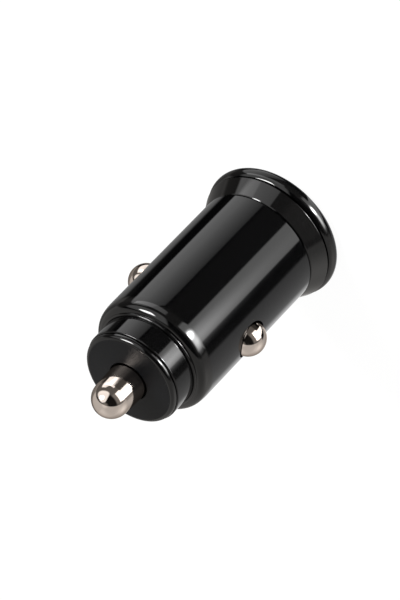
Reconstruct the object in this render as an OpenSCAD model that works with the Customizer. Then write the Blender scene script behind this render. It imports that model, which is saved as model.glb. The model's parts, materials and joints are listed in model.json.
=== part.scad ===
// Car USB charger plug. It stands on its head and +Z runs along the axis to the tip of the centre pin.
// Sizes are in millimetres. The circuit board lies in the YZ plane, and the side contacts slide along X.

/* [Barrel] */
// Clearance between the corners of the sockets and the barrel's bore
bore_clear = 0.27; // [0.2:0.01:0.4]
// Wall of the barrel
barrel_wall = 1.0; // [0.8:0.05:1.1]
// Rounding of the shoulder
shoulder_round = 1.5; // [1.2:0.1:1.6]
// Radius of the slow curve by which the barrel draws in before the shoulder
crown_r = 8; // [6:0.5:10]
// Angle of that curve where the rounding takes over
crown_angle = 10; // [6:1:12]
// Thickness of the shoulder
shoulder_wall = 1.4; // [1.2:0.1:1.8]
// Rounding of the barrel's edge at the head
barrel_edge_r = 0.15; // [0.1:0.05:0.25]

/* [Nose] */
// Width of the step from the barrel to the nose
shoulder_w = 1.85; // [1.7:0.05:2.1]
// Length of the metal nose beyond the shoulder
nose_len = 4.4; // [4:0.2:6]
// Wall of the metal nose
nose_wall = 1.2; // [0.9:0.1:1.4]
// Radius of the bead at the foot of the nose
foot_bead_r = 0.3; // [0.2:0.05:0.4]
// Rounding of the nose's end
nose_edge_r = 0.2; // [0.1:0.05:0.3]

/* [Nose cap] */
// How far the cap's edge lies inside the nose's
cap_set = 0.2; // [0.05:0.05:0.3]
// Thickness of the cap outside the nose
cap_t = 1.3; // [1.1:0.1:1.8]
// Rounding of the cap's outer edge
cap_round = 0.7; // [0.3:0.1:0.8]
// Width of the groove between the nose and the cap
cap_groove_w = 0.2; // [0.1:0.05:0.3]
// Depth of the groove between the nose and the cap
cap_groove_depth = 0.35; // [0.2:0.05:0.6]
// Length of the cap's screwed stem inside the nose
cap_stem_len = 4.8; // [4.4:0.2:5.2]
// Depth of the wide mouth of the pin's hole
mouth_depth = 0.8; // [0.5:0.1:1]
// Gap around the pin in the hole's mouth
mouth_gap = 0.25; // [0.15:0.05:0.5]

/* [Centre pin] */
// Diameter of the pin
pin_d = 6.5; // [6:0.1:6.7]
// How far the pin stands out of the cap
pin_reach = 7.7; // [6.4:0.1:8.4]
// How far the pin can be pushed in
pin_travel = 3; // [2:0.5:3]
// How far the pin's flange stands out all round
pin_flange = 1.05; // [0.8:0.05:1.2]
// Thickness of the pin's flange
pin_flange_t = 1; // [0.8:0.1:1.2]
// Depth of the stop for the flange below the cap's face
pin_stop_depth = 3.2; // [3:0.1:3.8]
// Wall of the hollow pin
pin_wall = 0.95; // [0.8:0.05:1.1]
// Depth of the spring's bore in the pin
pin_bore_depth = 7; // [5:0.5:8]

/* [Side contacts] */
// Diameter of each contact
contact_d = 5.9; // [5.6:0.1:6]
// How far each contact stands out of the barrel
contact_proud = 2.25; // [2:0.05:2.5]
// How far each contact can be pushed in
contact_travel = 2; // [1.5:0.1:2.2]
// Gap around the contact in the barrel's hole
contact_gap = 0.3; // [0.2:0.05:0.35]
// How far the contact's flange stands out all round
contact_flange = 0.65; // [0.5:0.05:0.7]
// Thickness of the contact's flange
contact_flange_t = 0.7; // [0.6:0.1:0.8]
// Wall of the hollow contact
contact_wall = 0.65; // [0.5:0.05:0.7]
// Metal left between the spring's bore and the contact's tip
contact_crown = 2.65; // [2.2:0.05:2.8]

/* [Springs] */
// Wire of the pin's spring
pin_wire_d = 0.45; // [0.4:0.05:0.5]
// Coils of the pin's spring
pin_coils = 9; // [7:1:10]
// Wire of each contact spring
contact_wire_d = 0.4; // [0.3:0.05:0.45]
// Coils of each contact spring
contact_coils = 7; // [6:1:9]

/* [Head] */
// Radial width of the rim bezel around the face plate
rim_wall = 1.4; // [1.3:0.05:1.7]
// Radius of the rim's rounded bead
rim_bead_r = 1.5; // [1.4:0.05:1.6]
// Height of the rim bezel
rim_h = 2.65; // [2.5:0.05:2.8]
// Radial width of the lip that holds the face plate
rim_lip = 1.15; // [0.9:0.05:1.2]
// Height of that lip
rim_lip_h = 0.9; // [0.7:0.1:1]
// Width of the dark groove between the bezel and the collar
rim_groove_w = 0.4; // [0.2:0.05:0.5]
// How far the collar flares out beyond the barrel
collar_flare = 1.25; // [1:0.05:1.4]
// Rounding of the collar's widest edge
collar_edge_r = 0.2; // [0.1:0.05:0.3]
// Height at which the collar's cone ends
collar_end_z = 5.98; // [5.6:0.02:6.4]
// Wall of the collar around the barrel's spigot
collar_wall = 0.55; // [0.5:0.05:0.6]
// Width of the parting groove between collar and barrel
parting_w = 0.22; // [0.14:0.02:0.3]
// Depth of the parting groove
parting_depth = 0.35; // [0.3:0.05:0.4]

/* [Face plate] */
// Depth of the plate's face inside the rim
face_recess = 0.4; // [0.3:0.05:0.6]
// Thickness of the plate's flange
plate_t = 1.2; // [1:0.1:1.4]
// Diameter of the light pipe
light_d = 1.6; // [1.2:0.1:1.8]

/* [USB sockets] */
// Width of a type A shell
usb_w = 13.1; // [12.9:0.05:13.2]
// Height of a type A shell
usb_h = 5.72; // [5.62:0.05:5.82]
// Sheet of the shell
usb_sheet = 0.3; // [0.2:0.05:0.35]
// Depth of the socket
usb_depth = 13; // [12.4:0.1:13.2]
// How far the shell's mouth sits behind the plate's face
usb_mouth_recess = 0.3; // [0.1:0.1:0.5]
// Gap beside the tongue
tongue_side_gap = 0.7; // [0.6:0.05:0.8]
// Thickness of the tongue
tongue_t = 1.84; // [1.7:0.02:1.9]
// Gap between the tongue and the shell's outer wall
tongue_gap = 0.72; // [0.6:0.02:0.8]
// Length of the block that closes the socket behind
usb_block = 4; // [3:0.2:5]
// Width of a contact blade
blade_w = 1; // [0.8:0.1:1.2]
// Thickness of a contact blade
blade_t = 0.2; // [0.15:0.05:0.3]

/* [Circuit board] */
// Thickness of the board
board_t = 1; // [0.8:0.1:1.2]
// How far the board stands out beside the sockets
board_lug = 1.95; // [1.6:0.05:2.1]
// Width of the board beyond the sockets
board_tail_w = 12.4; // [11.6:0.2:12.8]
// Length of board between the sockets and the carrier
chip_room = 4.35; // [4:0.05:6]
// Length of board beyond the carrier
tail_room = 5.8; // [5.6:0.1:8]
// Diameter of the choke
choke_d = 5.4; // [4.6:0.2:5.4]
// Height of the choke
choke_h = 3.5; // [2.8:0.1:4.5]
// Diameter of the input capacitor
can_d = 5; // [4:0.2:5]
// Height of the input capacitor
can_h = 5.4; // [4.4:0.2:6]

/* [Fits] */
// Radial running clearance of pin and contacts
run_gap = 0.05; // [0.03:0.01:0.08]
// Clearance between pieces that are pressed or slipped together
seat_gap = 0.05; // [0.03:0.01:0.1]
// Clearance between the sockets and the windows of the plate
window_gap = 0.1; // [0.05:0.05:0.2]

/* [Hidden] */
$fn = 96;
eps = 0.01;

black_metal = "#141416";
black_plastic = "#2a2a2c";
nickel = "#cfc8c0";
steel = "#b9bcc0";
brass = "#c9a24a";
copper = "#b5652f";
gold = "#d9b04c";

// Barrel and head: the barrel comes to 20.6 mm, for a standard 21 mm accessory socket
bore_r = norm([usb_w / 2, board_t / 2 + usb_h]) + bore_clear;
barrel_r = bore_r + barrel_wall;
spigot_r = barrel_r - parting_depth;
barrel_z0 = collar_end_z + parting_w;
plate_r = spigot_r + seat_gap + collar_wall;
plate_back_z = rim_lip_h + plate_t;
rim_bore_r = plate_r + seat_gap;
rim_r = rim_bore_r + rim_wall;
rim_bead_x = rim_r - rim_bead_r;
lip_r = rim_bore_r - rim_lip;
plate_boss_r = lip_r - seat_gap;
collar_z = rim_h + rim_groove_w;
collar_r = barrel_r + collar_flare;
neck_wall = 0.35;
collar_neck_r = rim_bore_r + neck_wall;
edge_flat = 0.1;
cone_tilt = atan2(collar_flare, collar_end_z - edge_flat - collar_z - collar_edge_r);

// Sockets, on the board's faces
face_x = board_t / 2;
usb_mid_x = face_x + usb_h / 2;
usb_z0 = face_recess + usb_mouth_recess;
usb_z1 = usb_z0 + usb_depth;
tongue_x1 = face_x + usb_h - usb_sheet - tongue_gap;
tongue_x0 = tongue_x1 - tongue_t;
tongue_w = usb_w - 2 * usb_sheet - 2 * tongue_side_gap;
tongue_setback = 1;
block_z0 = usb_z1 - usb_block;
blade_pitch = 2.3;
tail_t = 0.35;
leaf_w = 1.6;
leaf_len = 4.2;
leaf_slot = 0.25;
leaf_y = 3.2;
leaf_z = usb_z0 + plate_back_z + 0.4;

// Carrier, and the side contacts in it
contact_r = contact_d / 2;
contact_flange_r = contact_r + contact_flange;
guide_r = contact_flange_r + run_gap;
guide_wall = 0.75;
carrier_rim = 0.2;
carrier_half_h = guide_r + guide_wall + carrier_rim;
carrier_gap = 0.1;
carrier_r = bore_r - carrier_gap;
carrier_wall = 1;
carrier_web = 1.2;
carrier_z0 = usb_z1 + tail_t + chip_room;
carrier_z1 = carrier_z0 + 2 * carrier_half_h;
contact_z = carrier_z0 + carrier_half_h;
contact_tip_x = barrel_r + contact_proud;
contact_mid_x = contact_tip_x - contact_r;
hole_r = contact_r + contact_gap;
flange_wall_gap = 0.12;
flange_front_x = sqrt(bore_r * bore_r - contact_flange_r * contact_flange_r) - flange_wall_gap;
flange_back_x = flange_front_x - contact_flange_t;
contact_bore_r = contact_r - contact_wall;
contact_bore_end_x = contact_tip_x - contact_crown;
pad_t = 0.3;
pad_r = 2.4;
pad_peg_h = 1;

// Board and positive terminal
board_gap = 0.3;
board_z0 = plate_back_z + board_gap;
step_room = 0.8;
board_step_z = carrier_z0 - step_room;
board_end_z = carrier_z1 + tail_room;
terminal_t = 0.6;
terminal_room = 1;
terminal_peg_h = 1;
terminal_tab = 1;
terminal_r = 2.9;

// Centre pin, cap and nose
pin_r = pin_d / 2;
flange_r = pin_r + pin_flange;
pin_back_z = board_end_z + terminal_t + terminal_room + pin_travel;
pin_stop_z = pin_back_z + pin_flange_t;
pin_bore_r = pin_r - pin_wall;
pin_bore_z = pin_back_z + pin_bore_depth;
cap_face_z = pin_stop_z + pin_stop_depth;
pin_tip_z = cap_face_z + pin_reach;
nose_r = barrel_r - shoulder_w;
cap_r = nose_r - cap_set;
nose_bore_r = nose_r - nose_wall;
nose_z = cap_face_z - cap_t;
shoulder_z = nose_z - nose_len;
stem_r = nose_bore_r - seat_gap;
spring_slack = 0.15;
flange_slack = 0.1;
pipe_gap = 0.1;
wire_sides = 6;
steps_per_coil = 16;

// Grips of the face plate on the board's edge
board_head_w = usb_w + 2 * board_lug;
grip_len = 1.8;
grip_w = 1.2;
grip_t = 1;
grip_inset = 0.9;
grip_y = board_head_w / 2 - grip_inset;

// What sits on the board
chip_zone_z = carrier_z0 - chip_room / 2;
tail_zone_z = carrier_z1 + tail_room / 2;
chip_w = 3;
chip_h = 1.1;
lead_w = 0.3;
lead_reach = 0.9;
lead_t = 0.2;
lead_pitch = 0.65;
diode_size = [2.2, 4.3, 2.6];
diode_lead_w = 1.4;
fuse_size = [0.6, 1.6, 3.2];
fuse_y = 4.1;
chip_cap_size = [1, 2, 1.25];
chip_cap_y = 5.6;
choke_flange_t = 0.6;
choke_core_r = 1.3;
winding_inset = 0.3;
can_base_t = 0.8;
can_groove_z = 1.6;
can_groove_r = 0.4;
can_groove_depth = 0.25;
led_size = [0.7, 0.8, 1.6];
led_x = face_x + led_size[0] / 2;
led_reach = 1.15;
led_y = usb_w / 2 + led_reach;
led_inset = 0.2;
led_z0 = board_z0 + led_inset;

// Places a shape that is drawn on the +X side on the chosen side
module on_side(side) rotate([0, 0, side == "left" ? 180 : 0]) children();

// Turns a shape drawn along +Z so that it lies along +X at the contacts' height
module along_x() translate([0, 0, contact_z]) rotate([0, 90, 0]) children();

// Rectangle in the half plane of a turned profile, from one corner to the other
module band(r0, z0, r1, z1) translate([r0, z0]) square([r1 - r0, z1 - z0]);

// Coil spring from z = 0 to its length, with one closed coil at each end
function coil_rise(turn, coils, length, wire) =
    let (closed = wire * 1.03, pitch = (length - wire - 2 * closed) / (coils - 2))
    turn < 1 ? turn * closed
    : turn > coils - 1 ? length - wire - (coils - turn) * closed
    : closed + (turn - 1) * pitch;
module coil_spring(mean_r, wire, length, coils) {
    steps = coils * steps_per_coil;
    points = [
        for (i = [0:steps], j = [0:wire_sides - 1])
            let (
                turn = i / steps_per_coil,
                a = 360 * turn,
                b = 360 * (j + 0.5) / wire_sides,
                r = mean_r + wire / 2 * cos(b)
            )
            [r * cos(a), r * sin(a), wire / 2 + coil_rise(turn, coils, length, wire) + wire / 2 * sin(b)]
    ];
    sides = [
        for (i = [0:steps - 1], j = [0:wire_sides - 1])
            let (
                k = (j + 1) % wire_sides,
                p = i * wire_sides + j,
                q = i * wire_sides + k
            )
            each [[p, q, p + wire_sides], [q, q + wire_sides, p + wire_sides]]
    ];
    start_cap = [for (j = [wire_sides - 1:-1:0]) j];
    end_cap = [for (j = [0:wire_sides - 1]) steps * wire_sides + j];
    polyhedron(points, concat(sides, [start_cap, end_cap]));
}

// Turned metal body: barrel, rounded shoulder and nose in one piece
module barrel_shell() color(black_metal) difference() {
    rotate_extrude() barrel_profile();
    for (side = ["left", "right"])
        on_side(side) along_x() translate([0, 0, bore_r / 2]) cylinder(r = hole_r, h = barrel_r);
}
module barrel_profile() difference() {
    crown_x = barrel_r - crown_r;
    round_x = crown_x + (crown_r - shoulder_round) * cos(crown_angle);
    round_z = shoulder_z - shoulder_round;
    crown_z = round_z - (crown_r - shoulder_round) * sin(crown_angle);
    crown_end_z = crown_z + crown_r * sin(crown_angle);
    union() {
        band(0, plate_back_z, spigot_r, barrel_z0);
        band(0, barrel_z0, barrel_r - barrel_edge_r, barrel_z0 + barrel_edge_r + eps);
        translate([barrel_r - barrel_edge_r, barrel_z0 + barrel_edge_r]) circle(r = barrel_edge_r);
        band(0, barrel_z0 + barrel_edge_r, barrel_r, crown_z + eps);
        intersection() {
            translate([crown_x, crown_z]) circle(r = crown_r, $fn = 360);
            band(0, crown_z, barrel_r, crown_end_z);
        }
        band(0, crown_z, round_x, shoulder_z);
        translate([round_x, round_z]) circle(r = shoulder_round);
        translate([nose_r + foot_bead_r / 2, shoulder_z]) circle(r = foot_bead_r);
        band(0, shoulder_z - eps, nose_r, nose_z - nose_edge_r);
        band(0, nose_z - nose_edge_r - eps, nose_r - nose_edge_r, nose_z);
        translate([nose_r - nose_edge_r, nose_z - nose_edge_r]) circle(r = nose_edge_r);
    }
    band(-1, 0, bore_r, shoulder_z - shoulder_wall);
    band(-1, 0, nose_bore_r, nose_z + 1);
}

// Flared collar pressed over the barrel's spigot
module head_collar() color(black_metal) rotate_extrude() {
    inner_r = spigot_r + seat_gap;
    edge_x = collar_r - collar_edge_r;
    edge_z = collar_z + collar_edge_r;
    polygon([
        [inner_r, plate_back_z], [plate_r, plate_back_z], [plate_r, rim_h], [collar_neck_r, rim_h],
        [collar_neck_r, collar_z], [edge_x, collar_z], [edge_x, edge_z],
        [edge_x + collar_edge_r * cos(cone_tilt), edge_z + collar_edge_r * sin(cone_tilt)],
        [barrel_r, collar_end_z - edge_flat], [barrel_r - edge_flat, collar_end_z],
        [inner_r, collar_end_z]
    ]);
    translate([edge_x, edge_z]) circle(r = collar_edge_r);
}

// Rounded rim that the charger stands on, with a lip over the face plate
module rim_bezel() color(black_metal) rotate_extrude() difference() {
    union() {
        band(lip_r, 0, rim_bead_x, rim_h);
        intersection() {
            translate([rim_bead_x, rim_bead_r]) circle(r = rim_bead_r);
            band(rim_bead_x - eps, 0, rim_r, rim_h);
        }
    }
    band(0, rim_lip_h, rim_bore_r, rim_h + 1);
}

// Plastic face with windows for the two sockets
module face_plate() color(black_plastic) difference() {
    union() {
        translate([0, 0, face_recess]) cylinder(r = plate_boss_r, h = rim_lip_h - face_recess + eps);
        translate([0, 0, rim_lip_h]) cylinder(r = plate_r, h = plate_t);
        for (side = [-1, 1])
            translate([side * (face_x + seat_gap + grip_t / 2), -grip_y, plate_back_z + grip_len / 2 - eps])
                cube([grip_t, grip_w, grip_len], center = true);
    }
    for (side = [-1, 1])
        translate([side * usb_mid_x, 0, plate_back_z / 2])
            cube([usb_h + 2 * window_gap, usb_w + 2 * window_gap, 2 * plate_back_z], center = true);
    translate([led_x, led_y, -1]) cylinder(r = light_d / 2 + seat_gap, h = plate_back_z + 2);
}

// Clear pin that carries the status light to the face
module light_pipe() color("#e8eef2") translate([led_x, led_y, face_recess])
    cylinder(r = light_d / 2, h = board_z0 - pipe_gap - face_recess);

// Screwed plastic cap: guides the pin and stops its flange
module nose_cap() color(black_plastic) rotate_extrude() difference() {
    round_x = cap_r - cap_round;
    round_z = cap_face_z - cap_round;
    union() {
        band(0, nose_z - cap_stem_len, stem_r, nose_z);
        band(0, nose_z, cap_r - cap_groove_depth, nose_z + cap_groove_w);
        band(0, nose_z + cap_groove_w, cap_r, round_z);
        band(0, round_z, round_x, cap_face_z);
        intersection() {
            translate([round_x, round_z]) circle(r = cap_round);
            band(round_x - eps, round_z - eps, cap_r, cap_face_z);
        }
    }
    band(-1, 0, pin_r + run_gap, cap_face_z + 1);
    band(-1, cap_face_z - mouth_depth, pin_r + mouth_gap, cap_face_z + 1);
    band(-1, 0, flange_r + flange_slack, pin_stop_z);
}

// Hollow positive contact with a round tip
module centre_pin() color(nickel) rotate_extrude() difference() {
    union() {
        band(0, pin_back_z, flange_r, pin_stop_z);
        band(0, pin_back_z, pin_r, pin_tip_z - pin_r);
        intersection() {
            translate([0, pin_tip_z - pin_r]) circle(r = pin_r);
            band(0, pin_tip_z - pin_r - eps, pin_r, pin_tip_z);
        }
    }
    band(-1, 0, pin_bore_r, pin_bore_z);
}

module pin_spring() color(steel) translate([0, 0, board_end_z + terminal_t])
    coil_spring(
        pin_bore_r - spring_slack - pin_wire_d / 2, pin_wire_d,
        pin_bore_z - board_end_z - terminal_t, pin_coils
    );

// Brass seat of the pin's spring, with a tab in the board's notch
module positive_terminal() color(brass) translate([0, 0, board_end_z]) {
    cylinder(r = terminal_r, h = terminal_t);
    cylinder(r = pin_bore_r - spring_slack - pin_wire_d - seat_gap, h = terminal_t + terminal_peg_h);
    translate([-face_x, -terminal_tab, -terminal_tab]) cube([board_t, 2 * terminal_tab, terminal_tab + eps]);
}

// Hollow dome that slides in the carrier and through the barrel's hole
module side_contact(side) color(nickel) on_side(side) along_x() rotate_extrude() difference() {
    union() {
        band(0, flange_back_x, contact_flange_r, flange_front_x);
        band(0, flange_back_x, contact_r, contact_mid_x);
        intersection() {
            translate([0, contact_mid_x]) circle(r = contact_r);
            band(0, contact_mid_x - eps, contact_r, contact_tip_x);
        }
    }
    band(-1, 0, contact_bore_r, contact_bore_end_x);
}
module side_contact_left() side_contact("left");
module side_contact_right() side_contact("right");

module contact_spring(side) color(steel) on_side(side) along_x() translate([0, 0, face_x + pad_t])
    coil_spring(
        contact_bore_r - spring_slack - contact_wire_d / 2, contact_wire_d,
        contact_bore_end_x - face_x - pad_t, contact_coils
    );
module contact_spring_left() contact_spring("left");
module contact_spring_right() contact_spring("right");

// Spring seat soldered to the board, with a peg inside the spring
module ground_terminal(side) color(brass) on_side(side) along_x() translate([0, 0, face_x]) {
    cylinder(r = pad_r, h = pad_t);
    cylinder(r = contact_bore_r - spring_slack - contact_wire_d - seat_gap, h = pad_t + pad_peg_h);
}
module ground_terminal_left() ground_terminal("left");
module ground_terminal_right() ground_terminal("right");

// Moulded half that clamps the board and guides one contact
module carrier_half(side) color("#3a3a3d") on_side(side) difference() {
    intersection() {
        union() {
            translate([0, 0, carrier_z0]) difference() {
                cylinder(r = carrier_r, h = 2 * carrier_half_h);
                translate([0, 0, -1]) cylinder(r = carrier_r - carrier_wall, h = 2 * carrier_half_h + 2);
            }
            along_x() cylinder(r = guide_r + guide_wall, h = carrier_r);
            translate([0, -carrier_r, carrier_z0])
                cube([face_x + carrier_web, 2 * carrier_r, 2 * carrier_half_h]);
        }
        translate([0, 0, carrier_z0]) cylinder(r = carrier_r, h = 2 * carrier_half_h);
        translate([0, -carrier_r, carrier_z0]) cube([carrier_r, 2 * carrier_r, 2 * carrier_half_h]);
    }
    along_x() cylinder(r = guide_r, h = carrier_r + 1);
    translate([-1, -board_tail_w / 2 - seat_gap, carrier_z0 - 1])
        cube([1 + face_x, board_tail_w + 2 * seat_gap, 2 * carrier_half_h + 2]);
}
module carrier_half_left() carrier_half("left");
module carrier_half_right() carrier_half("right");

// Folded steel shell of a socket with two sprung leaves cut in its outer wall
module usb_shell(side) color(steel) on_side(side) difference() {
    translate([face_x, -usb_w / 2, usb_z0]) cube([usb_h, usb_w, usb_depth]);
    translate([face_x + usb_sheet, -usb_w / 2 + usb_sheet, usb_z0 - 1])
        cube([usb_h - 2 * usb_sheet, usb_w - 2 * usb_sheet, usb_depth + 2]);
    for (y = [-leaf_y, leaf_y])
        translate([face_x + usb_h - 2 * usb_sheet, y - leaf_w / 2, leaf_z]) difference() {
            cube([3 * usb_sheet, leaf_w, leaf_len]);
            translate([0, leaf_slot, leaf_slot]) cube([3 * usb_sheet, leaf_w - 2 * leaf_slot, leaf_len]);
        }
}
module usb_shell_left() usb_shell("left");
module usb_shell_right() usb_shell("right");

// Tongue and rear block of a socket, grooved for the blades
module usb_insulator(side) color("white") on_side(side) difference() {
    inner_x0 = face_x + usb_sheet + seat_gap;
    inner_h = usb_h - 2 * usb_sheet - 2 * seat_gap;
    inner_w = usb_w - 2 * usb_sheet - 2 * seat_gap;
    union() {
        translate([inner_x0, -inner_w / 2, block_z0]) cube([inner_h, inner_w, usb_block]);
        translate([tongue_x0, -tongue_w / 2, usb_z0 + tongue_setback])
            cube([tongue_t, tongue_w, block_z0 - usb_z0 - tongue_setback + eps]);
    }
    usb_blades();
}
module usb_insulator_left() usb_insulator("left");
module usb_insulator_right() usb_insulator("right");

// Four blades of one socket, on the +X side: along the tongue and down behind the block to the board
module usb_blades() {
    for (i = [-1.5:1:1.5])
        translate([0, i * blade_pitch - blade_w / 2, 0]) {
            translate([tongue_x0, 0, usb_z0 + 2 * tongue_setback])
                cube([blade_t, blade_w, usb_z1 + tail_t - usb_z0 - 2 * tongue_setback]);
            translate([face_x, 0, usb_z1]) cube([tongue_x0 + blade_t - face_x, blade_w, tail_t]);
        }
}
module usb_contacts_left() color(gold) on_side("left") usb_blades();
module usb_contacts_right() color(gold) on_side("right") usb_blades();

// Board: wide beside the sockets, narrow through the carrier, notched for the positive terminal
module main_board() color("#1f5a34") difference() {
    union() {
        translate([-face_x, -board_head_w / 2, board_z0])
            cube([board_t, board_head_w, board_step_z - board_z0]);
        translate([-face_x, -board_tail_w / 2, board_step_z - eps])
            cube([board_t, board_tail_w, board_end_z - board_step_z + eps]);
    }
    translate([-face_x - 1, -terminal_tab - seat_gap, board_end_z - terminal_tab - seat_gap])
        cube([board_t + 2, 2 * (terminal_tab + seat_gap), terminal_tab + 1]);
}

// Drum choke of the converter: ferrite core and its winding
module on_tail(side) on_side(side) translate([face_x, 0, tail_zone_z]) rotate([0, 90, 0]) children();
module inductor_core() color("#3b3b3b") on_tail("right") {
    cylinder(r = choke_d / 2, h = choke_flange_t);
    cylinder(r = choke_core_r, h = choke_h);
    translate([0, 0, choke_h - choke_flange_t]) cylinder(r = choke_d / 2, h = choke_flange_t);
}
module inductor_winding() color(copper) on_tail("right") translate([0, 0, choke_flange_t])
    difference() {
        cylinder(r = choke_d / 2 - winding_inset, h = choke_h - 2 * choke_flange_t);
        translate([0, 0, -1]) cylinder(r = choke_core_r, h = choke_h);
    }

// Input capacitor: rolled can on a square base
module electrolytic_capacitor() color(steel) on_tail("left") {
    translate([-can_d / 2, -can_d / 2, 0]) cube([can_d, can_d, can_base_t]);
    rotate_extrude() difference() {
        band(0, 0, can_d / 2, can_h);
        translate([can_d / 2 + can_groove_r - can_groove_depth, can_groove_z]) circle(r = can_groove_r);
    }
}

// Package with leads on two sides, standing on the +X face of the board
module controller_chip() color("#222222") translate([face_x, 0, chip_zone_z]) {
    translate([lead_t / 2, -chip_w / 2, -chip_w / 2]) cube([chip_h, chip_w, chip_w]);
    for (side = [-1, 1], i = [-1.5:1:1.5])
        translate([lead_t / 2, side * (chip_w + lead_reach) / 2, i * lead_pitch])
            cube([lead_t, lead_reach + 2 * eps, lead_w], center = true);
}

module rectifier_diode() color("#222222") on_side("left") translate([face_x, 0, chip_zone_z]) {
    translate([lead_t / 2, -diode_size[1] / 2, -diode_size[2] / 2]) cube(diode_size);
    for (side = [-1, 1])
        translate([lead_t / 2, side * (diode_size[1] + lead_reach / 2) / 2, 0])
            cube([lead_t, lead_reach / 2 + 2 * eps, diode_lead_w], center = true);
}

module input_fuse() color("#d8d4c8") on_side("left")
    translate([face_x, fuse_y - fuse_size[1] / 2, tail_zone_z - fuse_size[2] / 2]) cube(fuse_size);

module status_led() color("#f2f2e8")
    translate([face_x, led_y - led_size[1] / 2, led_z0]) cube(led_size);

module chip_capacitors() color("#b89a72")
    for (side = ["left", "right"], y = [-chip_cap_y, chip_cap_y])
        on_side(side) translate([face_x, y - chip_cap_size[1] / 2, chip_zone_z - chip_cap_size[2] / 2])
            cube(chip_cap_size);

barrel_shell();
head_collar();
rim_bezel();
face_plate();
light_pipe();
nose_cap();
centre_pin();
pin_spring();
positive_terminal();
side_contact_left();
side_contact_right();
contact_spring_left();
contact_spring_right();
ground_terminal_left();
ground_terminal_right();
carrier_half_left();
carrier_half_right();
usb_shell_left();
usb_shell_right();
usb_insulator_left();
usb_insulator_right();
usb_contacts_left();
usb_contacts_right();
main_board();
inductor_core();
inductor_winding();
electrolytic_capacitor();
controller_chip();
rectifier_diode();
input_fuse();
status_led();
chip_capacitors();
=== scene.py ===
import json
from math import cos, pi, radians, sin, sqrt

import bmesh
import bpy
from mathutils import Matrix, Vector


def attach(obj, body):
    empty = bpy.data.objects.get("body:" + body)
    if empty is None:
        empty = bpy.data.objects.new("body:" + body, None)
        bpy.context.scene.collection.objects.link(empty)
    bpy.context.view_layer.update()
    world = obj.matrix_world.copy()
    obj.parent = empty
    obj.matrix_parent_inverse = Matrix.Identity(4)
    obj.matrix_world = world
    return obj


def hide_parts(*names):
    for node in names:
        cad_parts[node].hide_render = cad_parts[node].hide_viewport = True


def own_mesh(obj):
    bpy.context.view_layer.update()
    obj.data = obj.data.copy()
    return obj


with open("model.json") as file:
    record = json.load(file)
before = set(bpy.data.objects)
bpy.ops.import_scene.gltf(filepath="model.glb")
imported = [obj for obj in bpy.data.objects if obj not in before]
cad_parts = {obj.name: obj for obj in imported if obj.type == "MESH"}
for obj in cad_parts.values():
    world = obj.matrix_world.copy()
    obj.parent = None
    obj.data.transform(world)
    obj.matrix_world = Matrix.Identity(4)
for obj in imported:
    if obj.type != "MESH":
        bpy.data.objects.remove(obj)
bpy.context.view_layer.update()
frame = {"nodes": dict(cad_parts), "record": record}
nodes = frame["nodes"]
MM = 0.001

# Camera: the photograph looks down on the nose, with the axis running to the lower left
CAMERA_AZIMUTH = -24.0
CAMERA_ELEVATION = 37.09
CAMERA_ROLL = 136.01
CAMERA_DISTANCE = 734.0 * MM
CAMERA_AIM = Vector((0.66, -0.29, 21.25)) * MM
CAMERA_LENS = 281.0

# Light colours
WHITE = (1.0, 1.0, 1.0)
WARM_WHITE = (1.0, 1.0, 0.99)
BEIGE = (1.0, 0.975, 0.94)
BROWN = (1.0, 0.96, 0.91)

# Limits of the painted world in degrees. Only the barrel and the nose look below DIP
DIP = -34
NADIR = -100
ZENITH = 90
BEHIND = 190

# Sockets of a colour mix node, by number because its numbers and colours share their names
MIX_FIRST, MIX_SECOND, MIX_RESULT = 6, 7, 2


def direction(azimuth, elevation):
    """Unit vector at an elevation and at an azimuth in degrees. Azimuth 0 is the camera's, and it grows
    towards the picture's lower right."""
    a = radians(CAMERA_AZIMUTH - azimuth)
    e = radians(elevation)
    return Vector((sin(a) * cos(e), -cos(a) * cos(e), sin(e)))


def show(name, data):
    """New object in the scene."""
    made = bpy.data.objects.new(name, data)
    bpy.context.scene.collection.objects.link(made)
    return made


def add_camera():
    back = direction(0, CAMERA_ELEVATION)
    upright = (Vector((0, 0, 1)) - back * back.z).normalized()
    side = upright.cross(back)
    roll = radians(CAMERA_ROLL)
    up = upright * cos(roll) + side * sin(roll)
    right = up.cross(back)
    camera = show("camera", bpy.data.cameras.new("camera"))
    camera.data.lens = CAMERA_LENS
    camera.data.clip_start = 0.01
    camera.data.clip_end = 10
    place = Matrix((right, up, back)).transposed().to_4x4()
    place.translation = CAMERA_AIM + back * CAMERA_DISTANCE
    camera.matrix_world = place
    bpy.context.scene.camera = camera
    bpy.context.scene.view_settings.view_transform = "Standard"


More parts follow.
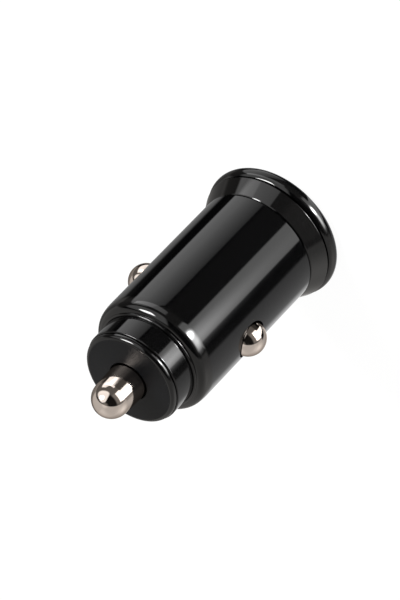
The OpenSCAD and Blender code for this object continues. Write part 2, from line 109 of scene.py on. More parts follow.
class Nodes:
    """A node tree, with arithmetic on its values. Lights are painted over two of them, across and up."""

    def __init__(self, tree):
        self.tree = tree
        self.across = None
        self.up = None

    def node(self, kind, **settings):
        made = self.tree.nodes.new(kind)
        for key, value in settings.items():
            setattr(made, key, value)
        return made

    def plug(self, source, target):
        self.tree.links.new(source, target)

    def math(self, operation, *values):
        made = self.node("ShaderNodeMath", operation=operation)
        for socket, value in zip(made.inputs, values):
            if isinstance(value, (int, float)):
                socket.default_value = value
            else:
                self.plug(value, socket)
        return made.outputs[0]

    def ramp(self, value, low, high, out_low=0.0, out_high=1.0, smooth=True):
        step = self.node("ShaderNodeMapRange", interpolation_type="SMOOTHSTEP" if smooth else "LINEAR")
        ends = {"From Min": low, "From Max": high, "To Min": out_low, "To Max": out_high}
        for slot, amount in ends.items():
            step.inputs[slot].default_value = amount
        self.plug(value, step.inputs["Value"])
        return step.outputs["Result"]

    def offsets(self, across, up, width, height):
        """Distance from a middle along both directions, as shares of a width and a height."""
        return (self.math("DIVIDE", self.math("SUBTRACT", self.across, across), width),
                self.math("DIVIDE", self.math("SUBTRACT", self.up, up), height))

    def spot(self, across, up, width, height):
        """A round soft glow, 1 in the middle."""
        a, b = self.offsets(across, up, width, height)
        far = self.math("ADD", self.math("MULTIPLY", a, a), self.math("MULTIPLY", b, b))
        return self.math("EXPONENT", self.math("MULTIPLY", far, -1.0))

    def pane(self, across, up, width, height):
        """1 inside a rounded rectangle with soft edges."""
        a, b = (self.math("POWER", self.math("ABSOLUTE", offset), 4.0)
                for offset in self.offsets(across, up, width, height))
        return self.ramp(self.math("ADD", a, b), 1.6, 0.5)


class Studio(Nodes):
    """The world, painted by azimuth and elevation in degrees."""

    def __init__(self):
        world = bpy.data.worlds.new("studio")
        world.use_nodes = True
        super().__init__(world.node_tree)
        self.tree.nodes.clear()
        self.ray = self.node("ShaderNodeTexCoord").outputs["Generated"]
        sideways = self.facing(direction(90, 0))
        towards = self.facing(direction(0, 0))
        upward = self.facing((0, 0, 1))
        self.across = self.math("DEGREES", self.math("ARCTAN2", sideways, towards))
        self.up = self.math("DEGREES", self.math("ARCSINE", upward))
        self.total = None
        bpy.context.scene.world = world

    def facing(self, vector):
        dot = self.node("ShaderNodeVectorMath", operation="DOT_PRODUCT")
        dot.inputs[1].default_value = vector
        self.plug(self.ray, dot.inputs[0])
        return dot.outputs["Value"]

    def window(self, azimuths, elevations, soft):
        """1 inside a span of azimuths and elevations, with soft edges."""
        inside = 1.0
        for value, (low, high) in ((self.across, azimuths), (self.up, elevations)):
            inside = self.math("MULTIPLY", inside, self.ramp(value, low - soft, low + soft))
            inside = self.math("MULTIPLY", inside, self.ramp(value, high + soft, high - soft))
        return inside

    def add(self, amount, strength, colour=WHITE):
        scale = self.node("ShaderNodeVectorMath", operation="SCALE")
        scale.inputs[0].default_value = [strength * channel for channel in colour]
        self.plug(amount, scale.inputs["Scale"])
        layer = scale.outputs["Vector"]
        if self.total is not None:
            joined = self.node("ShaderNodeVectorMath", operation="ADD")
            self.plug(self.total, joined.inputs[0])
            self.plug(layer, joined.inputs[1])
            layer = joined.outputs["Vector"]
        self.total = layer

    def finish(self):
        shade = self.node("ShaderNodeBackground")
        self.plug(self.total, shade.inputs["Color"])
        self.plug(shade.outputs[0], self.node("ShaderNodeOutputWorld").inputs["Surface"])


def add_world():
    studio = Studio()
    azimuth, elevation = studio.across, studio.up
    # the low window on the right, shifted where the pin's dome sees it
    above_dip = studio.ramp(elevation, DIP - 2, DIP + 6)
    studio.across = studio.math("ADD", azimuth, studio.math("MULTIPLY", above_dip, 10.0))
    studio.add(studio.window((7, 60), (DIP, 2), 3.0), 1.8, WARM_WHITE)
    studio.across = azimuth
    studio.add(studio.window((7, 46), (NADIR, DIP), 2.0), 1.8, WARM_WHITE)
    studio.add(studio.window((-8, 52), (0, 22), 6.0), 0.1, BROWN)
    # the tall window on the upper left, with the lamp behind it
    studio.add(studio.pane(-65, 43, 39, 30), 1.15, WARM_WHITE)
    studio.add(studio.pane(-74, 48, 16, 8), 28.0, WARM_WHITE)
    # the pale wall of the right and of the back
    studio.add(studio.window((62, BEHIND), (DIP, ZENITH), 4.0), 0.45, BEIGE)
    studio.add(studio.window((62, BEHIND), (8, ZENITH), 4.0), 0.1, BEIGE)
    studio.add(studio.window((-BEHIND, -118), (DIP, ZENITH), 4.0), 0.25, BEIGE)
    studio.add(studio.window((-BEHIND, -118), (4, ZENITH), 4.0), 0.35, BEIGE)
    studio.add(studio.spot(165, 40, 24, 30), 0.2, BEIGE)
    studio.add(studio.window((-12, 57), (25, 70), 8.0), 0.01, BROWN)
    studio.add(studio.spot(98, -8, 24, 20), 0.5, BEIGE)
    # what the barrel alone sees, far below: the dim right side and the backdrop
    studio.add(studio.window((76, 142), (NADIR, DIP), 4.0), 0.45)
    studio.add(studio.window((142, BEHIND), (NADIR, DIP), 6.0), 1.0)
    studio.add(studio.window((-BEHIND, -134), (NADIR, DIP), 6.0), 0.36)
    # the brown room between the windows, the ceiling, and the camera's dark side
    studio.add(studio.window((-122, 66), (-32, 24), 5.0), 0.12, BROWN)
    studio.add(studio.ramp(elevation, 66, 86), 0.25, BROWN)
    studio.add(studio.window((-40, 8), (-60, -32), 3.0), 0.035, BROWN)
    studio.finish()


class Panel(Nodes):
    """A glowing card that faces the axis. It stands close by, so its light changes along the barrel. The
    light depends on the place on the card in millimetres: across grows towards the picture's lower right."""

    def __init__(self, name, azimuth, distance, width, bottom, top):
        half = width / 2 * MM
        corners = [(-half, bottom * MM), (half, bottom * MM), (half, top * MM), (-half, top * MM)]
        mesh = bpy.data.meshes.new(name)
        mesh.from_pydata([(x, 0, z) for x, z in corners], [], [(0, 1, 2, 3)])
        card = show(name, mesh)
        card.location = direction(azimuth, 0) * distance * MM
        card.rotation_euler.z = radians(CAMERA_AZIMUTH - azimuth)
        material = bpy.data.materials.new(name)
        material.use_nodes = True
        super().__init__(material.node_tree)
        self.tree.nodes.clear()
        place = self.node("ShaderNodeSeparateXYZ")
        self.plug(self.node("ShaderNodeTexCoord").outputs["Object"], place.inputs[0])
        self.across = self.math("DIVIDE", place.outputs["X"], -MM)
        self.up = self.math("DIVIDE", place.outputs["Z"], MM)
        self.emission = self.node("ShaderNodeEmission")
        both = self.node("ShaderNodeAddShader")
        self.plug(self.emission.outputs[0], both.inputs[0])
        self.plug(self.node("ShaderNodeBsdfTransparent").outputs[0], both.inputs[1])
        self.plug(both.outputs[0], self.node("ShaderNodeOutputMaterial").inputs["Surface"])
        mesh.materials.append(material)
        card.visible_camera = False
        card.visible_shadow = False

    def shine(self, strength):
        self.plug(strength, self.emission.inputs["Strength"])


def add_right_glow():
    """The glow low on the right, with a bright core."""
    glow = Panel("right_glow", azimuth=30.0, distance=150.0, width=150.0, bottom=-150.0, top=20.0)
    broad = glow.math("MULTIPLY", glow.spot(8.0, -30.0, 34.0, 36.0), 14.0)
    core = glow.math("MULTIPLY", glow.spot(-27.0, -14.0, 13.0, 26.0), 110.0)
    glow.shine(glow.math("ADD", broad, core))


def add_left_panel():
    """The tall panel on the left, brighter on the side away from the camera, and narrower to its top."""
    panel = Panel("left_panel", azimuth=-74.0, distance=140.0, width=200.0, bottom=-240.0, top=40.0)
    near_edge, near_lean, near_soft = 82.0, 60.0, 5
    far_edge, far_lean, far_soft = -76.0, 45.0, 6
    side = panel.ramp(panel.across, near_edge, near_edge - 95, 0.35, 1.28, smooth=False)
    rise = panel.ramp(panel.up, -84, 34, smooth=False)
    near = panel.math("SUBTRACT", panel.across, panel.math("MULTIPLY", rise, -near_lean))
    far = panel.math("ADD", panel.across, panel.math("MULTIPLY", rise, -far_lean))
    near = panel.ramp(near, near_edge + near_soft, near_edge - near_soft)
    far = panel.ramp(far, far_edge - far_soft, far_edge + far_soft)
    inside = panel.math("MULTIPLY", near, far)
    inside = panel.math("MULTIPLY", inside, panel.ramp(panel.up, 38, 28))
    panel.shine(panel.math("MULTIPLY", side, inside))


def add_low_panel():
    """The small panel close to the barrel on the left, which lights the cone."""
    panel = Panel("low_panel", azimuth=-57.0, distance=65.0, width=80.0, bottom=2.0, top=24.0)
    side = panel.ramp(panel.across, 34, -33, 0.9, 2.0, smooth=False)
    inside = panel.math("MULTIPLY", panel.ramp(panel.across, 36, 33), panel.ramp(panel.across, -36, -33))
    height = panel.math("MULTIPLY", panel.ramp(panel.up, 3, 6), panel.ramp(panel.up, 21, 18))
    inside = panel.math("MULTIPLY", inside, height)
    panel.shine(panel.math("MULTIPLY", side, inside))


def add_floor():
    """Pale floor that glows by itself, and that the part's gloss doesn't see."""
    half, grey, glow = 1.5, 0.08, 0.96
    mesh = bpy.data.meshes.new("floor")
    corners = [(-half, -half, 0), (half, -half, 0), (half, half, 0), (-half, half, 0)]
    mesh.from_pydata(corners, [], [(0, 1, 2, 3)])
    floor = show("floor", mesh)
    material = bpy.data.materials.new("pale_floor")
    material.use_nodes = True
    shade = material.node_tree.nodes["Principled BSDF"]
    shade.inputs["Base Color"].default_value = (grey, grey, grey, 1)
    shade.inputs["Roughness"].default_value = 1.0
    shade.inputs["Specular IOR Level"].default_value = 0.0
    shade.inputs["Emission Color"].default_value = (1, 1, 1, 1)
    shade.inputs["Emission Strength"].default_value = glow
    mesh.materials.append(material)
    floor.visible_glossy = False
    floor.visible_shadow = False
    floor.visible_transmission = False


add_camera()
add_world()
add_right_glow()
add_left_panel()
add_low_panel()
add_floor()


class Finish(Nodes):
    """A Principled material. Its tone, gloss and fine relief come from noise in the object's own metres."""

    def __init__(self, name, colour, roughness, metallic=0.0, **more):
        self.material = bpy.data.materials.new(name)
        self.material.use_nodes = True
        super().__init__(self.material.node_tree)
        self.shade = self.tree.nodes["Principled BSDF"]
        self.shade.inputs["Base Color"].default_value = (*colour, 1)
        self.shade.inputs["Roughness"].default_value = roughness
        self.shade.inputs["Metallic"].default_value = metallic
        self.shade.inputs["Specular IOR Level"].default_value = 0.5
        for key, value in more.items():
            self.shade.inputs[key.replace("_", " ")].default_value = value
        self.place = self.node("ShaderNodeTexCoord").outputs["Object"]

    def mapped(self, **settings):
        """The object's coordinates, with a mapping node's settings."""
        mapping = self.node("ShaderNodeMapping")
        for key, value in settings.items():
            mapping.inputs[key].default_value = value
        self.plug(self.place, mapping.inputs["Vector"])
        return mapping.outputs["Vector"]

    def noise(self, size, detail, stretch=(1, 1, 1)):
        """Noise with features of about the given size in millimetres."""
        made = self.node("ShaderNodeTexNoise")
        made.inputs["Scale"].default_value = 1.0 / (size * MM)
        made.inputs["Detail"].default_value = detail
        self.plug(self.mapped(Scale=stretch), made.inputs["Vector"])
        return made.outputs["Fac"]

    def tone(self, value, first, second):
        made = self.node("ShaderNodeMix", data_type="RGBA")
        made.inputs[MIX_FIRST].default_value = (*first, 1)
        made.inputs[MIX_SECOND].default_value = (*second, 1)
        self.plug(value, made.inputs["Factor"])
        self.plug(made.outputs[MIX_RESULT], self.shade.inputs["Base Color"])

    def gloss(self, value, low, high):
        """Roughness between two values, over the middle of the noise."""
        self.plug(self.ramp(value, 0.3, 0.7, low, high, smooth=False), self.shade.inputs["Roughness"])

    def relief(self, value, height):
        """Relief of the given height in micrometres."""
        bump = self.node("ShaderNodeBump")
        bump.inputs["Distance"].default_value = height * 1e-6
        bump.inputs["Strength"].default_value = 1.0
        self.plug(value, bump.inputs["Height"])
        self.plug(bump.outputs["Normal"], self.shade.inputs["Normal"])

    def on(self, *names):
        for name in names:
            slots = nodes[name].data.materials
            slots.clear()
            slots.append(self.material)


black_coat = Finish("gloss_black_coat", (0.001, 0.001, 0.0011), 0.05)
black_coat.gloss(black_coat.noise(3, 3), 0.035, 0.07)
black_coat.relief(black_coat.noise(0.7, 1), 0.25)

cap_plastic = Finish("turned_black_cap", (0.0032, 0.0035, 0.0045), 0.4)
cap_plastic.shade.inputs["Specular IOR Level"].default_value = 0.165
cap_plastic.gloss(cap_plastic.noise(0.5, 4), 0.38, 0.44)
cap_plastic.relief(cap_plastic.noise(0.12, 3), 1.0)

plate_plastic = Finish("grained_black_plastic", (0.012, 0.012, 0.013), 0.5)
plate_plastic.gloss(plate_plastic.noise(0.6, 4), 0.42, 0.58)
plate_plastic.relief(plate_plastic.noise(0.16, 3), 8.0)
plate_plastic.on("face_plate")

nickel = Finish("bright_nickel", (0.76, 0.67, 0.61), 0.08, 1.0, Specular_Tint=(0.6, 0.56, 0.52, 1))
nickel.tone(nickel.noise(1.5, 4), (0.74, 0.65, 0.59), (0.78, 0.69, 0.63))
nickel.gloss(nickel.noise(0.8, 3), 0.05, 0.09)

shell_steel = Finish("pressed_socket_steel", (0.60, 0.60, 0.61), 0.28, 1.0)
shell_steel.tone(shell_steel.noise(2.0, 3), (0.52, 0.52, 0.54), (0.66, 0.66, 0.67))
shell_steel.gloss(shell_steel.noise(0.4, 4, (1, 1, 0.06)), 0.2, 0.38)
shell_steel.relief(shell_steel.noise(0.15, 3, (1, 1, 0.04)), 1.0)
shell_steel.on("usb_shell_left", "usb_shell_right")

spring_steel = Finish("drawn_spring_wire", (0.45, 0.45, 0.47), 0.3, 1.0)
spring_steel.gloss(spring_steel.noise(0.3, 4), 0.22, 0.4)
spring_steel.relief(spring_steel.noise(0.1, 3), 1.5)
spring_steel.on("pin_spring", "contact_spring_left", "contact_spring_right")

brass = Finish("stamped_brass", (0.72, 0.52, 0.22), 0.3, 1.0)
brass.tone(brass.noise(1.2, 4), (0.62, 0.43, 0.17), (0.76, 0.56, 0.26))
brass.gloss(brass.noise(0.3, 4), 0.22, 0.42)
brass.on("positive_terminal", "ground_terminal_left", "ground_terminal_right")

gold = Finish("gold_flash", (0.83, 0.62, 0.25), 0.22, 1.0)
gold.gloss(gold.noise(0.3, 3, (1, 1, 0.1)), 0.15, 0.3)
gold.on("usb_contacts_left", "usb_contacts_right")

tongue_plastic = Finish("white_moulding", (0.76, 0.75, 0.72), 0.4,
                        Subsurface_Weight=0.15, Subsurface_Scale=0.0005)
tongue_plastic.tone(tongue_plastic.noise(2.5, 2), (0.72, 0.71, 0.67), (0.78, 0.77, 0.74))
tongue_plastic.gloss(tongue_plastic.noise(0.4, 3), 0.33, 0.48)
tongue_plastic.relief(tongue_plastic.noise(0.2, 3), 3.0)
tongue_plastic.on("usb_insulator_left", "usb_insulator_right")

carrier_plastic = Finish("glass_filled_moulding", (0.03, 0.03, 0.032), 0.55)
fibres = carrier_plastic.noise(0.2, 5, (1, 1, 0.4))
carrier_plastic.tone(fibres, (0.022, 0.022, 0.024), (0.045, 0.045, 0.047))
carrier_plastic.gloss(carrier_plastic.noise(0.5, 4), 0.45, 0.65)
carrier_plastic.relief(carrier_plastic.noise(0.25, 3), 5.0)
carrier_plastic.on("carrier_half_left", "carrier_half_right")

laminate = Finish("green_board", (0.02, 0.12, 0.05), 0.3, Coat_Weight=0.4)
tracks = laminate.node("ShaderNodeTexBrick")
tracks.inputs["Scale"].default_value = 1.0 / (4.0 * MM)
tracks.inputs["Mortar Size"].default_value = 0.06
tracks.inputs["Color1"].default_value = (0.016, 0.10, 0.042, 1)
tracks.inputs["Color2"].default_value = (0.019, 0.115, 0.048, 1)
tracks.inputs["Mortar"].default_value = (0.035, 0.19, 0.075, 1)
laminate.plug(laminate.mapped(Rotation=(0, pi / 2, 0)), tracks.inputs["Vector"])
laminate.plug(tracks.outputs["Color"], laminate.shade.inputs["Base Color"])
laminate.gloss(laminate.noise(0.5, 3), 0.22, 0.36)
laminate.relief(tracks.outputs["Fac"], 18.0)
laminate.on("main_board")

ferrite = Finish("sintered_ferrite", (0.035, 0.034, 0.036), 0.5)
ferrite.tone(ferrite.noise(0.15, 5), (0.022, 0.022, 0.024), (0.06, 0.058, 0.06))
ferrite.gloss(ferrite.noise(0.3, 4), 0.4, 0.6)
ferrite.relief(ferrite.noise(0.12, 4), 6.0)
ferrite.on("inductor_core")

winding = Finish("enamelled_copper", (0.62, 0.24, 0.10), 0.25, 1.0, Coat_Weight=0.6)
winding.tone(winding.noise(1.0, 3), (0.55, 0.20, 0.08), (0.68, 0.28, 0.12))
winding.gloss(winding.noise(0.3, 3), 0.2, 0.34)
winding.on("inductor_winding")

can_aluminium = Finish("drawn_can_aluminium", (0.68, 0.69, 0.70), 0.3, 1.0)
can_aluminium.gloss(can_aluminium.noise(0.3, 4), 0.24, 0.42)
can_aluminium.relief(can_aluminium.noise(0.2, 3), 1.2)
can_aluminium.on("electrolytic_capacitor")

chip_resin = Finish("moulded_epoxy", (0.018, 0.018, 0.02), 0.5)
chip_resin.tone(chip_resin.noise(0.1, 4), (0.012, 0.012, 0.013), (0.028, 0.028, 0.03))
chip_resin.gloss(chip_resin.noise(0.2, 4), 0.42, 0.6)
chip_resin.relief(chip_resin.noise(0.08, 3), 3.0)
chip_resin.on("controller_chip", "rectifier_diode")

ceramic = Finish("fired_ceramic", (0.52, 0.40, 0.27), 0.45)
ceramic.tone(ceramic.noise(0.25, 4), (0.44, 0.33, 0.22), (0.58, 0.46, 0.32))
ceramic.gloss(ceramic.noise(0.2, 3), 0.38, 0.55)
ceramic.on("chip_capacitors", "input_fuse")

lens = Finish("diode_lens", (0.85, 0.83, 0.70), 0.3, Subsurface_Weight=0.4, Subsurface_Scale=0.0004)
lens.gloss(lens.noise(0.3, 2), 0.25, 0.38)
lens.on("status_led")

clear = Finish("clear_acrylic", (0.93, 0.96, 0.97), 0.05, Transmission_Weight=0.95, IOR=1.49)
clear.gloss(clear.noise(0.4, 3), 0.03, 0.1)
clear.on("light_pipe")

# Turned pieces replace the CAD's facets, with the exact normals of their profiles. Their sizes are those of
# the source, in millimetres: R is a radius, Z a height above the head's end, T a thickness
STEPS = 144          # faces round the axis
ON_AXIS = 1e-6       # a radius below this is a point on the axis
SEAT_GAP = 0.05      # between pieces that are seated in each other

BODY_R = 10.303
BORE_R = 9.303
SPIGOT_R = 9.953     # barrel's end inside the head
BARREL_Z = 6.2
BARREL_EDGE_R = 0.15
CROWN_R = 8          # slight crown in front of the shoulder's round
CROWN_ANGLE = 10
SHOULDER_Z = 36.5
SHOULDER_ROUND = 1.5
SHOULDER_END = 82.4  # angle where the round meets the bead at the nose's foot
SHOULDER_T = 1.4
NOSE_R = 8.453
NOSE_Z = 40.9
NOSE_BORE_R = 7.253
NOSE_EDGE_R = 0.2
FOOT_BEAD_R = 0.3

CONTACT_Z = 23.0     # axis of the side contacts
HOLE_R = 3.25
HOLE_BAND = 4        # rings of the barrel above and below the hole keep its cut local
DRILL_LENGTH = 40
DRILL_STEPS = 96
HOLE_MISS = 0.3      # a face further than this from every edge of the profile is in the hole

PLATE_BACK_Z = 2.1   # back of the face plate, where barrel and collar end
RIM_R = 12.003
RIM_BORE_R = 10.603
RIM_Z = 2.65
RIM_BEAD_R = 1.5
BEAD_END = 50.05     # angle where the bead meets the groove
LIP_R = 9.453
LIP_Z = 0.9
COLLAR_NECK_R = 10.953
COLLAR_Z = 3.05
COLLAR_R = 11.553
COLLAR_EDGE_R = 0.1
COLLAR_CONE = 25.4   # angle of the cone's normal
COLLAR_END_Z = 5.98
COLLAR_FLAT = 0.1

CAP_R = 8.253
CAP_STEM_R = 7.203
CAP_STEM_Z = 36.1
CAP_GROOVE_R = 7.903
CAP_GROOVE = 0.2
CAP_ROUND = 0.7
CAP_ROUND_END = 86
FACE_Z = 42.2
FACE_SLOPE = 0.3     # the face falls by this much to its edge
MOUTH_R = 3.5
MOUTH_DEPTH = 0.8
CAP_HOLE_R = 3.3
STOP_BORE_R = 4.4

PIN_R = 3.25
PIN_BORE_R = 2.3
PIN_BORE_Z = 45.0
PIN_FLANGE_R = 4.3
PIN_FLANGE_T = 1.0
PIN_STOP_Z = 39.0
TAPER_Z = 43.0       # the pin is straight below this height
PIN_DOME_R = 3.15
PIN_TIP_Z = 49.9
PIN_DOME_START = 1.5

# Side contacts, with heights X from the barrel's axis
DOME_R = 2.95
DOME_X = 9.603
DOME_BORE_R = 2.3
DOME_BORE_X = 9.903
DOME_FLANGE_R = 3.6
FLANGE_BACK_X = 7.758
FLANGE_FRONT_X = 8.458
DOME_STEPS = 28


class Profile:
    """Closed half profile in millimetres, walked with the solid on its left. Each edge has a normal at both
    ends and the number of its material."""

    def __init__(self, r, z):
        self.points = [(r, z)]
        self.normals = []
        self.slots = []

    def edge(self, r, z, start_normal, end_normal, slot):
        self.points.append((r, z))
        self.normals.append((start_normal, end_normal))
        self.slots.append(slot)

    def to(self, *points, slot=0):
        for r, z in points:
            r0, z0 = self.points[-1]
            run = sqrt((r - r0) ** 2 + (z - z0) ** 2)
            normal = ((z - z0) / run, (r0 - r) / run)
            self.edge(r, z, normal, normal, slot)
        return self

    def arc(self, r, z, radius, start, end, steps):
        """Arc round a middle, from the angle start to the angle end in degrees, with smooth normals."""
        for i in range(steps):
            a, b = (radians(start + (end - start) * k / steps) for k in (i, i + 1))
            normals = (cos(a), sin(a)), (cos(b), sin(b))
            self.edge(r + radius * cos(b), z + radius * sin(b), *normals, 0)
        return self

    def close(self):
        self.to(self.points[0])
        self.points.pop()
        return self

    def edges(self):
        return list(zip(self.points, self.points[1:] + self.points[:1], self.normals))


def turn(name, profile, materials, place=Matrix()):
    """Mesh of a profile turned around Z, then put in place."""
    vertices, rings = [], []
    for r, z in profile.points:
        if r < ON_AXIS:
            rings.append([len(vertices)] * STEPS)
            vertices.append((0, 0, z * MM))
            continue
        rings.append(list(range(len(vertices), len(vertices) + STEPS)))
        for k in range(STEPS):
            angle = 2 * pi * k / STEPS
            vertices.append((r * MM * cos(angle), r * MM * sin(angle), z * MM))
    faces, normals, slots = [], [], []
    for j, here in enumerate(rings):
        there = rings[(j + 1) % len(rings)]
        if here[0] == here[1] and there[0] == there[1]:
            continue
        for k in range(STEPS):
            following = (k + 1) % STEPS
            corners = [(here, k, 0), (here, following, 0), (there, following, 1), (there, k, 1)]
            face = []
            for ring, step, end in corners:
                if ring[step] not in face:
                    face.append(ring[step])
                    nr, nz = profile.normals[j][end]
                    angle = 2 * pi * (k + 0.5 if ring[0] == ring[1] else step) / STEPS
                    normals.append((nr * cos(angle), nr * sin(angle), nz))
            faces.append(face)
            slots.append(profile.slots[j])
    mesh = bpy.data.meshes.new(name)
    mesh.from_pydata(vertices, [], faces)
    for made in materials:
        mesh.materials.append(made.material)
    mesh.polygons.foreach_set("material_index", slots)
    mesh.polygons.foreach_set("use_smooth", [True] * len(faces))
    turned_by = place.to_3x3()
    mesh.transform(place)
    mesh.normals_split_custom_set([turned_by @ Vector(normal) for normal in normals])
    return show(name, mesh)


def stand_for(piece, body, replaced):
    """The piece takes a CAD node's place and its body."""
    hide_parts(replaced)
    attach(piece, body)


def edge_miss(edge, r, z, outward, upward):
    """How far a face at (r, z) that faces (outward, upward) is from being on an edge of a profile."""
    (r0, z0), (r1, z1), (normal, _) = edge
    run = (r1 - r0) ** 2 + (z1 - z0) ** 2
    t = min(max(((r - r0) * (r1 - r0) + (z - z0) * (z1 - z0)) / run, 0), 1)
    away = abs(r - r0 - t * (r1 - r0)) + abs(z - z0 - t * (z1 - z0))
    return away + (1 - (normal[0] * outward + normal[1] * upward))


def edge_normal(edge, place):
    """Exact normal of a turned edge at a place on it."""
    (r0, z0), (r1, z1), (start, end) = edge
    if abs(z1 - z0) > abs(r1 - r0):
        t = (place.z - z0) / (z1 - z0)
    else:
        t = (place.xy.length - r0) / (r1 - r0)
    nr, nz = (a + (b - a) * t for a, b in zip(start, end))
    along = place.xy.normalized()
    return Vector((along.x * nr, along.y * nr, nz)).normalized()


def drill(piece, profile, radius, height):
    """Cuts a hole along X through a turned piece and gives the result its exact normals again."""
    cutter = bpy.data.objects.new("cutter", bpy.data.meshes.new("cutter"))
    shape = bmesh.new()
    bmesh.ops.create_cone(shape, segments=DRILL_STEPS, radius1=radius * MM, radius2=radius * MM,
                          depth=DRILL_LENGTH * MM, cap_ends=True)
    place = Matrix.Translation((0, 0, height * MM)) @ Matrix.Rotation(pi / 2, 4, "Y")
    bmesh.ops.transform(shape, verts=shape.verts, matrix=place)
    shape.to_mesh(cutter.data)
    shape.free()
    bpy.context.scene.collection.objects.link(cutter)
    cut = piece.modifiers.new("hole", "BOOLEAN")
    cut.operation = "DIFFERENCE"
    cut.solver = "EXACT"
    cut.object = cutter
    view = bpy.context.evaluated_depsgraph_get()
    mesh = bpy.data.meshes.new_from_object(piece.evaluated_get(view))
    piece.modifiers.clear()
    old = piece.data
    piece.data = mesh
    bpy.data.meshes.remove(old)
    bpy.data.objects.remove(cutter)
    normals = [None] * len(mesh.loops)
    edges = profile.edges()
    for face in mesh.polygons:
        middle, facing = face.center / MM, face.normal
        outward = facing.xy.length * (1 if facing.xy.dot(middle.xy) > 0 else -1)
        found = middle.xy.length, middle.z, outward, facing.z
        nearest = min(edges, key=lambda edge: edge_miss(edge, *found))
        in_hole = edge_miss(nearest, *found) > HOLE_MISS
        for index in face.loop_indices:
            corner = mesh.vertices[mesh.loops[index].vertex_index].co / MM
            if in_hole:
                normals[index] = Vector((0, -corner.y, height - corner.z)).normalized()
            else:
                normals[index] = edge_normal(nearest, corner)
    mesh.polygons.foreach_set("use_smooth", [True] * len(mesh.polygons))
    mesh.normals_split_custom_set(normals)
    mesh.update()


def add_barrel():
    crown_x = BODY_R - CROWN_R
    round_x = crown_x + (CROWN_R - SHOULDER_ROUND) * cos(radians(CROWN_ANGLE))
    round_z = SHOULDER_Z - SHOULDER_ROUND
    crown_z = round_z - (CROWN_R - SHOULDER_ROUND) * sin(radians(CROWN_ANGLE))
    edge_x = BODY_R - BARREL_EDGE_R
    below_hole, above_hole = CONTACT_Z - HOLE_BAND, CONTACT_Z + HOLE_BAND
    barrel = Profile(BORE_R, PLATE_BACK_Z)
    barrel.to((SPIGOT_R, PLATE_BACK_Z), (SPIGOT_R, BARREL_Z), (edge_x, BARREL_Z))
    barrel.arc(edge_x, BARREL_Z + BARREL_EDGE_R, BARREL_EDGE_R, -90, 0, steps=4)
    barrel.to((BODY_R, below_hole), (BODY_R, above_hole), (BODY_R, crown_z))
    barrel.arc(crown_x, crown_z, CROWN_R, 0, CROWN_ANGLE, steps=6)
    barrel.arc(round_x, round_z, SHOULDER_ROUND, CROWN_ANGLE, SHOULDER_END, steps=14)
    barrel.arc(NOSE_R + FOOT_BEAD_R / 2, SHOULDER_Z, FOOT_BEAD_R, -2.5, 120, steps=10)
    barrel.to((NOSE_R, NOSE_Z - NOSE_EDGE_R))
    barrel.arc(NOSE_R - NOSE_EDGE_R, NOSE_Z - NOSE_EDGE_R, NOSE_EDGE_R, 0, 90, steps=5)
    barrel.to((NOSE_BORE_R, NOSE_Z), (NOSE_BORE_R, SHOULDER_Z - SHOULDER_T))
    barrel.to((BORE_R, SHOULDER_Z - SHOULDER_T), (BORE_R, above_hole), (BORE_R, below_hole)).close()
    shell = turn("turned_barrel", barrel, [black_coat])
    drill(shell, barrel, HOLE_R, CONTACT_Z)
    stand_for(shell, "charger_body", "barrel_shell")


def add_collar():
    bore_r, seat_r = SPIGOT_R + SEAT_GAP, RIM_BORE_R - SEAT_GAP
    collar = Profile(bore_r, PLATE_BACK_Z)
    collar.to((seat_r, PLATE_BACK_Z), (seat_r, RIM_Z), (COLLAR_NECK_R, RIM_Z), (COLLAR_NECK_R, COLLAR_Z))
    collar.to((COLLAR_R - COLLAR_EDGE_R, COLLAR_Z))
    collar.arc(COLLAR_R - COLLAR_EDGE_R, COLLAR_Z + COLLAR_EDGE_R, COLLAR_EDGE_R, -90, COLLAR_CONE, steps=7)
    collar.to((BODY_R, COLLAR_END_Z - COLLAR_FLAT), (BODY_R - COLLAR_FLAT, COLLAR_END_Z))
    collar.to((bore_r, COLLAR_END_Z)).close()
    stand_for(turn("flared_collar", collar, [black_coat]), "charger_body", "head_collar")


def add_rim():
    rim = Profile(LIP_R, 0).to((RIM_R - RIM_BEAD_R, 0))
    rim.arc(RIM_R - RIM_BEAD_R, RIM_BEAD_R, RIM_BEAD_R, -90, BEAD_END, steps=20)
    rim.to((RIM_BORE_R, RIM_Z), (RIM_BORE_R, LIP_Z), (LIP_R, LIP_Z)).close()
    stand_for(turn("rounded_rim", rim, [black_coat]), "charger_body", "rim_bezel")


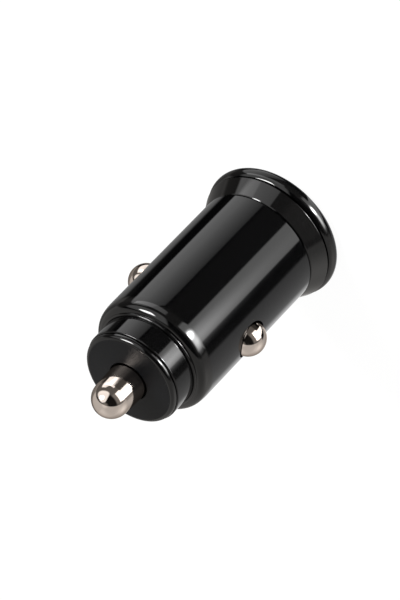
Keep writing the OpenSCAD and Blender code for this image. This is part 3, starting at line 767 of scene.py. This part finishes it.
def add_cap():
    """Gloss black as the barrel round its side, and satin on its face."""
    round_z = FACE_Z - FACE_SLOPE - CAP_ROUND
    groove_z = NOSE_Z + CAP_GROOVE
    cap = Profile(STOP_BORE_R, CAP_STEM_Z)
    cap.to((CAP_STEM_R, CAP_STEM_Z), (CAP_STEM_R, NOSE_Z), (CAP_GROOVE_R, NOSE_Z), (CAP_GROOVE_R, groove_z))
    cap.to((CAP_R, groove_z), (CAP_R, round_z))
    cap.arc(CAP_R - CAP_ROUND, round_z, CAP_ROUND, 0, CAP_ROUND_END, steps=10)
    mouth_z = FACE_Z - MOUTH_DEPTH
    cap.to((MOUTH_R, FACE_Z), (MOUTH_R, mouth_z), (CAP_HOLE_R, mouth_z), (CAP_HOLE_R, PIN_STOP_Z), slot=1)
    cap.to((STOP_BORE_R, PIN_STOP_Z)).close()
    stand_for(turn("turned_cap", cap, [black_coat, cap_plastic]), "charger_body", "nose_cap")


def add_pin():
    flange_z, dome_z = PIN_STOP_Z - PIN_FLANGE_T, PIN_TIP_Z - PIN_DOME_R
    pin = Profile(PIN_BORE_R, flange_z)
    pin.to((PIN_FLANGE_R, flange_z), (PIN_FLANGE_R, PIN_STOP_Z), (PIN_R, PIN_STOP_Z))
    pin.to((PIN_R, TAPER_Z), (PIN_DOME_R, dome_z))
    pin.arc(0, dome_z, PIN_DOME_R, PIN_DOME_START, 90, steps=DOME_STEPS)
    pin.to((0, PIN_BORE_Z), (PIN_BORE_R, PIN_BORE_Z)).close()
    stand_for(turn("pin_with_dome", pin, [nickel]), "centre_pin", "centre_pin")


def add_side_contacts():
    dome = Profile(DOME_BORE_R, FLANGE_BACK_X)
    dome.to((DOME_FLANGE_R, FLANGE_BACK_X), (DOME_FLANGE_R, FLANGE_FRONT_X), (DOME_R, FLANGE_FRONT_X))
    dome.to((DOME_R, DOME_X)).arc(0, DOME_X, DOME_R, 0, 90, steps=DOME_STEPS)
    dome.to((0, DOME_BORE_X), (DOME_BORE_R, DOME_BORE_X)).close()
    for side, sign in (("left", -1), ("right", 1)):
        name = "side_contact_" + side
        place = Matrix.Translation((0, 0, CONTACT_Z * MM)) @ Matrix.Rotation(sign * pi / 2, 4, "Y")
        stand_for(turn("contact_dome_" + side, dome, [nickel], place), name, name)


def add_springs():
    """The CAD's own coils, each copied with its own mesh and fixed to the charger's body."""
    for joint in frame["record"]["behaviour"]["joints"]:
        for spring in joint["deforming_nodes"]:
            name, letter = spring["node"], spring["mode"][-1]
            coils = show(name + "_coils", nodes[name].data.copy())
            coils.matrix_world = nodes[name].matrix_world
            stand_for(coils, "charger_body", name)
            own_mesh(coils)


add_barrel()
add_collar()
add_rim()
add_cap()
add_pin()
add_side_contacts()
add_springs()
